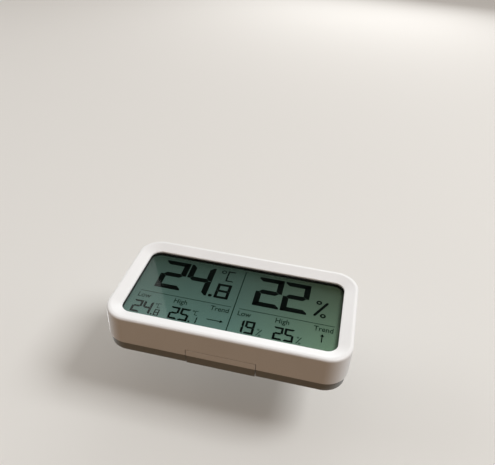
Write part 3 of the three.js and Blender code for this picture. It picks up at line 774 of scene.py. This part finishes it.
class HYGROMETER_OT_readout(PieceOperator, bpy.types.Operator):
    """Digits, units, words, arrows and dividing lines of the display"""

    bl_idname = "hygrometer.readout"
    bl_label = "Readout"

    # Places in millimetres: the left edges of both halves of the display, then places within
    # a half, counted from its left edge, and heights above the floor
    HALVES = (-52, 0)
    DIGIT_START = 8
    UNIT_START = 39.2
    LABEL_STARTS = (2.5, 21.5, 40.6)
    SMALL_STARTS = (2.8, 22.0)
    DIGIT_BASE = 30.9
    DIVIDER_Z = 26.4
    LABEL_BASE = 21.7
    SMALL_BASE = 10.6

    # Width, height and bar width of the units, and gaps beside them, in millimetres. The rise
    # is a share of the small digits' height
    DEGREES = (4.2, 8.4, 0.8)
    DEGREES_DROP = 8.6
    PERCENT = (6.9, 12.2, 1.4)
    SMALL_DEGREES = (1.6, 3.2, 0.35)
    SMALL_DEGREES_GAP = 0.4
    SMALL_DEGREES_RISE = 0.62
    SMALL_PERCENT = (2.5, 4.6, 0.4)
    SMALL_PERCENT_GAP = 0.8

    # Gap between the small digits, in millimetres
    SMALL_GAP = 0.6

    # Shares of a bar's width: gap at a joint, cuts at corners and elsewhere, and tips of the
    # middle bar
    JOINT_GAP = 0.05
    CORNER_CUT = 0.65
    MIDDLE_CUT = 0.5
    TIP = 0.47

    # Width, height and bar width of a tenth, as shares of those of the digits before it
    TENTH = (0.55, 0.5, 0.5)

    # How much wider a point is than the tenth's bars, in millimetres, and the share of its
    # width that is cut off at its corners
    POINT_EXTRA = 0.4
    POINT_CUT = 0.25

    # Share of the letters' size that a capital is high, how narrow the words are, and how bold
    CAPITAL = 0.73
    NARROW = 0.84
    BOLD = 0.012

    # Dividing lines in millimetres: widths, gaps above and below the upright one, length and
    # middle of the level ones
    UPRIGHT_WIDTH = 0.5
    UPRIGHT_GAPS = (2, 2.2)
    LEVEL_WIDTH = 0.3
    LEVEL_LENGTH = 48
    LEVEL_MIDDLE = 26.6

    # Arrow of each half: place across and upwards in millimetres, quarter turns, length of the
    # line. Then the line's width, the head's radius and how far its middle is past the line
    ARROWS = ((44.3, 15, 0, 6.6), (45.2, 16.4, 1, 3.8))
    ARROW_WIDTH = 0.5
    ARROW_HEAD = 1.1
    ARROW_LEAD = 0.6

    def execute(self, context):
        self.sizes = context.scene.hygrometer_display
        dark = ink("liquid_crystal_dark", self.sizes.ink_colour)
        faint = ink("liquid_crystal_faint", self.sizes.faint_colour)
        self.piece("readout_large", self.large_readings, dark)
        self.piece("readout_small", self.small_readings, dark)
        self.piece("readout_units", self.units, dark)
        self.piece("readout_small_units", self.small_units, faint)
        self.piece("readout_labels", self.labels, faint)
        self.piece("readout_dividers", self.dividers, faint)
        self.piece("readout_trends", self.trends, dark)
        return {"FINISHED"}

    def piece(self, name, draw, finish):
        """Draws flat shapes, thickens them and puts them in front of the polariser."""
        bm = bmesh.new()
        draw(bm)
        thick = bmesh.ops.extrude_face_region(bm, geom=bm.faces[:], use_keep_orig=True)["geom"]
        raised = [v for v in thick if isinstance(v, bmesh.types.BMVert)]
        bmesh.ops.translate(bm, vec=(0, 0, self.sizes.ink_thickness), verts=raised)
        bmesh.ops.recalc_face_normals(bm, faces=bm.faces)
        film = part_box("lcd_front_polariser")[0].y - self.sizes.ink_thickness / 2
        bmesh.ops.transform(bm, matrix=Matrix.Translation((0, film, 0)) @ TO_FRONT, verts=bm.verts)
        finished(bm, name, "case", finish)

    def bar(self, bm, size, place, turns=0, cuts=(0, 0), ends=0):
        """One flat bar. Cuts take off the two corners of its lower side, ends all four corners."""
        known = set(bm.verts)
        shape = Matrix.Diagonal((size[0], size[1], 1, 1))
        corners = bmesh.ops.create_grid(
            bm, x_segments=1, y_segments=1, size=0.5, matrix=shape
        )["verts"]
        lower = sorted((v for v in corners if v.co.y < 0), key=lambda v: v.co.x)
        steps = [([v], cut) for v, cut in zip(lower, cuts)] + [(corners, ends)]
        for verts, offset in steps:
            if offset:
                bmesh.ops.bevel(
                    bm, geom=verts, offset=offset, segments=1, profile=0.5, affect="VERTICES",
                    material=-1,
                )
        turn = Matrix.Rotation(turns * math.pi / 2, 4, "Z")
        move = Matrix.Translation((place[0], place[1], 0))
        bmesh.ops.transform(bm, matrix=move @ turn, verts=[v for v in bm.verts if v not in known])

    def digit(self, bm, sign, start, base, width, height, stroke):
        """A seven-bar digit whose lower left corner is at start and base."""
        gap = self.JOINT_GAP * stroke
        for name in LIT[sign]:
            across, up, turns, corners = BARS[name]
            middle = (
                start + width / 2 + across * (width - stroke),
                base + height / 2 + up * (height - stroke if abs(up) == 0.5 else height),
            )
            if corners is None:
                self.bar(bm, (width - stroke - 2 * gap, stroke), middle, ends=self.TIP * stroke)
                continue
            reach = (width if turns % 2 == 0 else height / 2) - 2 * gap
            cuts = [(self.CORNER_CUT if corner else self.MIDDLE_CUT) * stroke for corner in corners]
            self.bar(bm, (reach, stroke), middle, turns, cuts)

    def number(self, bm, text, start, base, width, height, stroke, pitch):
        """Whole digits, then a point and a smaller tenth if there is one."""
        whole, _, rest = text.partition(".")
        for sign in whole:
            self.digit(bm, sign, start, base, width, height, stroke)
            start += pitch
        if rest:
            sizes = (width, height, stroke)
            tenth = [share * size for share, size in zip(self.TENTH, sizes)]
            point = tenth[2] + self.POINT_EXTRA * MM
            start += point - (pitch - width)
            cut = self.POINT_CUT * point
            self.bar(bm, (point, point), (start, base + point / 2), ends=cut)
            start += point
            self.digit(bm, rest[0], start, base, *tenth)

    def large_readings(self, bm):
        """Temperature at left and humidity at right."""
        s = self.sizes
        for half, text in zip(self.HALVES, (s.temperature, s.humidity)):
            self.number(
                bm, text, (half + self.DIGIT_START) * MM, self.DIGIT_BASE * MM, s.digit_width,
                s.digit_height, s.digit_stroke, s.digit_pitch,
            )

    def small_readings(self, bm):
        """The lowest and the highest reading in each half."""
        s = self.sizes
        rows = ((s.temperature_low, s.temperature_high), (s.humidity_low, s.humidity_high))
        for half, texts in zip(self.HALVES, rows):
            for start, text in zip(self.SMALL_STARTS, texts):
                self.number(
                    bm, text, (half + start) * MM, self.SMALL_BASE * MM, s.small_width,
                    s.small_height, s.small_stroke, s.small_width + self.SMALL_GAP * MM,
                )

    def ring(self, bm, radius, stroke, x, z):
        """A flat ring."""
        known = set(bm.faces)
        move = Matrix.Translation((x, z, 0))
        bmesh.ops.create_circle(bm, cap_ends=True, segments=24, radius=radius, matrix=move)
        disc = list(set(bm.faces) - known)
        bmesh.ops.inset_region(
            bm, faces=disc, thickness=stroke, use_even_offset=True, use_boundary=True
        )
        bmesh.ops.delete(bm, geom=disc, context="FACES")

    def percent(self, bm, start, base, width, height, stroke):
        """A slash between two rings."""
        slant = math.atan2(width, height)
        tip = 0.45 * stroke
        self.bar(
            bm, (stroke, math.hypot(width, height) - stroke),
            (start + width / 2, base + height / 2), -slant * 2 / math.pi, ends=tip,
        )
        radius = 0.16 * width + 0.27 * stroke
        inset = radius + 0.08 * width
        line = 0.6 * stroke
        self.ring(bm, radius, line, start + inset, base + height - radius)
        self.ring(bm, radius, line, start + width - inset, base + radius)

    def degrees(self, bm, start, base, width, height, stroke):
        """A raised ring and the letter C."""
        radius = 0.32 * width
        line = 0.7 * stroke
        letter = start + 2.6 * radius
        self.ring(bm, radius, line, start + radius, base + height - radius)
        self.digit(bm, "C", letter, base, width, height, stroke)

    def units(self, bm):
        """Degrees at the top of the left digits, a percent sign at the foot of the right ones."""
        left, right = ((self.UNIT_START + half) * MM for half in self.HALVES)
        base = self.DIGIT_BASE * MM
        top = base + self.sizes.digit_height
        self.degrees(bm, left, top - self.DEGREES_DROP * MM, *(v * MM for v in self.DEGREES))
        self.percent(bm, right, base, *(v * MM for v in self.PERCENT))

    def small_units(self, bm):
        """A unit behind the two whole digits of each small reading."""
        after = 2 * (self.sizes.small_width + self.SMALL_GAP * MM)
        base = self.SMALL_BASE * MM
        raised = base + self.SMALL_DEGREES_RISE * self.sizes.small_height
        for start in self.SMALL_STARTS:
            left, right = ((half + start) * MM + after for half in self.HALVES)
            self.degrees(
                bm, left + self.SMALL_DEGREES_GAP * MM, raised,
                *(v * MM for v in self.SMALL_DEGREES),
            )
            self.percent(
                bm, right + self.SMALL_PERCENT_GAP * MM, base,
                *(v * MM for v in self.SMALL_PERCENT),
            )

    def labels(self, bm):
        """The three words over each row, in the built-in typeface."""
        for half in self.HALVES:
            for start, word in zip(self.LABEL_STARTS, ("Low", "High", "Trend")):
                letters = bpy.data.curves.new("word", "FONT")
                letters.body = word
                letters.size = self.sizes.label_height / self.CAPITAL
                letters.resolution_u = 4
                letters.offset = self.sizes.label_height * self.BOLD
                holder = bpy.data.objects.new("word", letters)
                flat = bpy.data.meshes.new_from_object(holder)
                place = Matrix.Translation(((half + start) * MM, self.LABEL_BASE * MM, 0))
                flat.transform(place @ Matrix.Diagonal((self.NARROW, 1, 1, 1)))
                bm.from_mesh(flat)
                bpy.data.objects.remove(holder)
                bpy.data.curves.remove(letters)
                bpy.data.meshes.remove(flat)
        bmesh.ops.remove_doubles(bm, verts=bm.verts, dist=WELD)

    def dividers(self, bm):
        """An upright line between the halves and a level one under each large reading."""
        low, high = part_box("display_gasket")
        top = high.z - self.UPRIGHT_GAPS[0] * MM
        foot = low.z + self.UPRIGHT_GAPS[1] * MM
        self.bar(bm, (self.UPRIGHT_WIDTH * MM, top - foot), (0, (top + foot) / 2))
        level = (self.LEVEL_LENGTH * MM, self.LEVEL_WIDTH * MM)
        for half in self.HALVES:
            self.bar(bm, level, ((half + self.LEVEL_MIDDLE) * MM, self.DIVIDER_Z * MM))

    def trends(self, bm):
        """An arrow to the right for a steady temperature and one upwards for rising humidity."""
        for half, (start, z, turns, reach) in zip(self.HALVES, self.ARROWS):
            place = ((half + start) * MM, z * MM)
            self.bar(bm, (reach * MM, self.ARROW_WIDTH * MM), place, turns)
            known = set(bm.verts)
            bmesh.ops.create_circle(bm, cap_ends=True, segments=3, radius=self.ARROW_HEAD * MM)
            head = [v for v in bm.verts if v not in known]
            move = Matrix.Translation((*place, 0))
            turn = Matrix.Rotation(turns * math.pi / 2, 4, "Z")
            lead = Matrix.Translation(((reach / 2 + self.ARROW_LEAD) * MM, 0, 0))
            ahead = Matrix.Rotation(-math.pi / 2, 4, "Z")
            bmesh.ops.transform(bm, matrix=move @ turn @ lead @ ahead, verts=head)


class HYGROMETER_OT_rear_cover(PieceOperator, bpy.types.Operator):
    """Grey rear cover with vents, screw wells, stand pocket and battery bay"""

    bl_idname = "hygrometer.rear_cover"
    bl_label = "Rear cover"

    def execute(self, context):
        case = context.scene.hygrometer_case
        # Partly painted shade: the mid grey also stands for the shade on the band behind the
        # parting line
        finish = moulded("moulded_grey_abs", case.cover_colour, case.grain, 0.44)
        refined("rear_cover", "cover_shell", "case", finish, case.cover_edge)
        return {"FINISHED"}


class HYGROMETER_OT_battery_door(PieceOperator, bpy.types.Operator):
    """Battery door with finger grips, tabs and latch"""

    bl_idname = "hygrometer.battery_door"
    bl_label = "Battery door"

    def execute(self, context):
        case = context.scene.hygrometer_case
        finish = moulded("moulded_grey_abs_door", case.cover_colour, case.grain, 0.42)
        refined("battery_door", "door_plate", "door", finish, case.cover_edge)
        return {"FINISHED"}


class HYGROMETER_OT_stand(PieceOperator, bpy.types.Operator):
    """Fold-out stand leaf with its barrel, ribs and foot"""

    bl_idname = "hygrometer.stand"
    bl_label = "Stand"

    def execute(self, context):
        case = context.scene.hygrometer_case
        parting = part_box("front_housing")[1].y
        # Partly painted shade: the leaf is grey like the cover behind the parting line and white
        # like the housing in front of it, so that its foot is as dark as the shade beyond the
        # parting line
        grey = moulded("moulded_grey_abs_stand", case.cover_colour, case.grain, 0.42)
        white = moulded("moulded_white_abs_lip", case.housing_colour, case.grain, 0.38)
        refined(
            "stand", "stand_plate", "stand_leaf", grey, case.cover_edge,
            (parting, True),
        )
        refined(
            "stand", "stand_lip", "stand_leaf", white, case.cover_edge,
            (parting, False),
        )
        return {"FINISHED"}


class HYGROMETER_OT_push_buttons(PieceOperator, bpy.types.Operator):
    """Two dished push buttons on the back"""

    bl_idname = "hygrometer.push_buttons"
    bl_label = "Push buttons"

    def execute(self, context):
        case = context.scene.hygrometer_case
        finish = moulded("moulded_white_abs_key", case.key_colour, 0.6 * case.grain, 0.34)
        for hand in ("left", "right"):
            refined(
                f"button_{hand}", f"key_{hand}", f"{hand}_button", finish,
                case.cover_edge,
            )
        return {"FINISHED"}


class HYGROMETER_OT_display_layers(PieceOperator, bpy.types.Operator):
    """Finishes of the gasket, films, glasses and rubber connectors behind the lens"""

    bl_idname = "hygrometer.display_layers"
    bl_label = "Display layers"

    def execute(self, context):
        display = context.scene.hygrometer_display
        dress(closed_cell_foam(), "display_gasket")
        dress(display_ground(display), "lcd_front_polariser")
        dress(clear("float_glass", linear("#e4f0ea"), 0.01), "lcd_front_glass", "lcd_rear_glass")
        dress(aluminised_film(), "lcd_reflector")
        dress(striped_silicone(), "zebra_strip_lower", "zebra_strip_upper")
        return {"FINISHED"}


class HYGROMETER_OT_board_parts(PieceOperator, bpy.types.Operator):
    """Finishes of the circuit board, its parts and the switches"""

    bl_idname = "hygrometer.board_parts"
    bl_label = "Board and its parts"

    def execute(self, context):
        dress(solder_mask(), "main_board")
        dress(potting_epoxy(), "controller_chip")
        dress(
            black_nylon(), "humidity_sensor", "pull_up_resistor", "switch_body_left",
            "switch_body_right",
        )
        dress(white_membrane(), "sensor_filter", "switch_plunger_left", "switch_plunger_right")
        dress(
            plated("drawn_aluminium_can", "#c9cbcc", 0.32), "clock_crystal", "capacitor_left",
            "capacitor_right",
        )
        return {"FINISHED"}


class HYGROMETER_OT_power_parts(PieceOperator, bpy.types.Operator):
    """Finishes of the two cells and their contact plates"""

    bl_idname = "hygrometer.power_parts"
    bl_label = "Cells and contacts"

    def execute(self, context):
        dress(
            plated("nickel_plated_steel", "#cdc8bd", 0.26), "contact_negative", "contact_positive",
            "contact_bridge",
        )
        for cell in ("cell_upper", "cell_lower"):
            dress(cell_sleeve(cell), cell)
        return {"FINISHED"}


class HYGROMETER_OT_fasteners(PieceOperator, bpy.types.Operator):
    """Finishes of the screws and the stand's pin"""

    bl_idname = "hygrometer.fasteners"
    bl_label = "Screws and pin"

    def execute(self, context):
        screws = [f"{group}_screw_{i}" for group in ("case", "board") for i in range(1, 5)]
        dress(plated("zinc_plated_steel", "#b9bcc0", 0.33), "stand_pin", *screws)
        return {"FINISHED"}


class HYGROMETER_OT_stage(PieceOperator, bpy.types.Operator):
    """Pale floor and backdrop, soft studio light and the camera"""

    bl_idname = "hygrometer.stage"
    bl_label = "Stage"

    CAMERA_PLACE = (0.040598, -0.194992, -0.168483)
    CAMERA_TURN = (145.1389, -12.6069, -3.0305)
    CARD_PLACE = (0.0385, -0.1625, 0.3018)
    CARD_TURN = (31.6, -19.9, 14.6)
    CARD_SIZE = (0.36, 0.4)
    REACH = 3.0
    BACKDROP = 0.05
    SENSOR = 36
    CLIP_START = 0.01
    LAMP_COLOUR = (0.97, 0.985, 1.0)

    # How far below level the light from above fades into the light from below
    HORIZON = (-0.25, -0.02)

    def execute(self, context):
        self.settings = context.scene.hygrometer_stage
        self.backdrop()
        self.dark_card()
        self.sky(context)
        self.light("key_light", (0.59, -0.9, 0.03), 0.4, self.settings.key_power)
        self.light("top_light", (0.05, -0.35, 0.95), 0.5, self.settings.top_power)
        self.light("fill_light", (-0.95, -0.55, 0.05), 0.6, self.settings.fill_power)
        self.light("back_light", (-0.7, 0.8, 0.9), 0.6, self.settings.back_power)
        camera = bpy.data.objects.new("camera", bpy.data.cameras.new("camera"))
        camera.data.lens = self.settings.focal
        camera.data.sensor_width = self.SENSOR
        camera.data.clip_start = self.CLIP_START
        camera.location = self.CAMERA_PLACE
        camera.rotation_euler = [math.radians(a) for a in self.CAMERA_TURN]
        context.scene.collection.objects.link(camera)
        context.scene.camera = camera
        context.scene.view_settings.view_transform = "Standard"
        return {"FINISHED"}

    def one_sided(self):
        """Matte pale board that is seen from its front only, so that it never hides the object."""
        material, tree, out = blank("matte_board")
        behind = add_node(tree, "ShaderNodeNewGeometry").outputs["Backfacing"]
        board = add_node(
            tree, "ShaderNodeBsdfDiffuse", {"Color": self.settings.floor_colour, "Roughness": 0.5}
        )
        nothing = add_node(tree, "ShaderNodeBsdfTransparent")
        both = add_node(
            tree, "ShaderNodeMixShader", {0: behind, 1: board.outputs[0], 2: nothing.outputs[0]}
        )
        tree.links.new(both.outputs[0], out.inputs["Surface"])
        return material

    def board(self, name, size, place, finish):
        """A flat board that belongs to the stage."""
        bm = bmesh.new()
        grid = Matrix.Diagonal((size[0], size[1], 1, 1))
        bmesh.ops.create_grid(bm, x_segments=1, y_segments=1, size=0.5, matrix=place @ grid)
        mesh = bpy.data.meshes.new(name)
        bm.to_mesh(mesh)
        bm.free()
        mesh.materials.append(finish)
        board = bpy.data.objects.new(name, mesh)
        bpy.context.scene.collection.objects.link(board)
        return board

    def backdrop(self):
        """A floor and a wall behind the case. Neither lights it nor shades it."""
        finish = self.one_sided()
        size = (2 * self.REACH, 2 * self.REACH)
        upright = Matrix.Translation((0, self.BACKDROP, 0)) @ TO_FRONT
        floor = self.board("floor", size, Matrix.Identity(4), finish)
        back = self.board("backdrop", size, upright, finish)
        for board in (floor, back):
            board.visible_diffuse = False
            board.visible_glossy = False
            board.visible_shadow = False

    def dark_card(self):
        """Keeps the lens clear of glare where the camera sees its reflection."""
        material, tree, out = blank("black_card")
        black = add_node(tree, "ShaderNodeBsdfDiffuse", {"Color": (0.01, 0.012, 0.011, 1)})
        tree.links.new(black.outputs[0], out.inputs["Surface"])
        turn = Euler([math.radians(a) for a in self.CARD_TURN]).to_matrix().to_4x4()
        card = self.board(
            "dark_card", self.CARD_SIZE, Matrix.Translation(self.CARD_PLACE) @ turn, material
        )
        card.visible_camera = False
        card.visible_diffuse = False
        card.visible_shadow = False
        card.visible_transmission = False

    def sky(self, context):
        """Soft even light from above and a dim warm one from below."""
        world = bpy.data.worlds.new("studio")
        context.scene.world = world
        world.use_nodes = True
        tree = world.node_tree
        tree.nodes.clear()
        place = add_node(tree, "ShaderNodeTexCoord").outputs["Generated"]
        up = add_node(tree, "ShaderNodeSeparateXYZ", {0: place}).outputs["Z"]
        dark, bright = self.HORIZON
        share = add_node(
            tree, "ShaderNodeMapRange", {"Value": up, "From Min": dark, "From Max": bright}
        ).outputs["Result"]
        s = self.settings.sky
        above = (s, s * 0.995, s * 0.98, 1)
        tone = add_node(
            tree, "ShaderNodeMix",
            {"Factor": share, "A": self.settings.below_colour, "B": above}, data_type="RGBA",
        ).outputs["Result"]
        lit = add_node(tree, "ShaderNodeBackground", {"Color": tone, "Strength": 1.0})
        out = add_node(tree, "ShaderNodeOutputWorld")
        tree.links.new(lit.outputs[0], out.inputs["Surface"])

    def light(self, name, place, size, watts):
        """A square lamp that is aimed at the middle of the case."""
        lamp = bpy.data.lights.new(name, "AREA")
        lamp.energy = watts
        lamp.color = self.LAMP_COLOUR
        lamp.size = size
        holder = bpy.data.objects.new(name, lamp)
        holder.location = place
        aim = Vector((0, 0, MIDDLE)) - Vector(place)
        holder.rotation_euler = aim.to_track_quat("-Z", "Y").to_euler()
        bpy.context.scene.collection.objects.link(holder)


class HYGROMETER_PT_panel(bpy.types.Panel):
    bl_idname = "HYGROMETER_PT_panel"
    bl_label = "Desk thermometer and hygrometer"
    bl_space_type = "VIEW_3D"
    bl_region_type = "UI"
    bl_category = "Hygrometer"

    def draw(self, context):
        layout = self.layout
        for operator in OPERATORS:
            layout.operator(operator.bl_idname)
        for group in (
            context.scene.hygrometer_case,
            context.scene.hygrometer_display,
            context.scene.hygrometer_stage,
        ):
            box = layout.box()
            for name in group.__annotations__:
                box.prop(group, name)


OPERATORS = (
    HYGROMETER_OT_front_housing,
    HYGROMETER_OT_display_lens,
    HYGROMETER_OT_readout,
    HYGROMETER_OT_rear_cover,
    HYGROMETER_OT_battery_door,
    HYGROMETER_OT_stand,
    HYGROMETER_OT_push_buttons,
    HYGROMETER_OT_display_layers,
    HYGROMETER_OT_board_parts,
    HYGROMETER_OT_power_parts,
    HYGROMETER_OT_fasteners,
    HYGROMETER_OT_stage,
)
CLASSES = (CaseSettings, DisplaySettings, StageSettings, *OPERATORS, HYGROMETER_PT_panel)


def register():
    for cls in CLASSES:
        bpy.utils.register_class(cls)
    bpy.types.Scene.hygrometer_case = PointerProperty(type=CaseSettings)
    bpy.types.Scene.hygrometer_display = PointerProperty(type=DisplaySettings)
    bpy.types.Scene.hygrometer_stage = PointerProperty(type=StageSettings)


def unregister():
    del bpy.types.Scene.hygrometer_stage
    del bpy.types.Scene.hygrometer_display
    del bpy.types.Scene.hygrometer_case
    for cls in reversed(CLASSES):
        bpy.utils.unregister_class(cls)


def main():
    register()
    for operator in OPERATORS:
        group, name = operator.bl_idname.split(".")
        getattr(getattr(bpy.ops, group), name)()


if __name__ == "__main__":
    main()
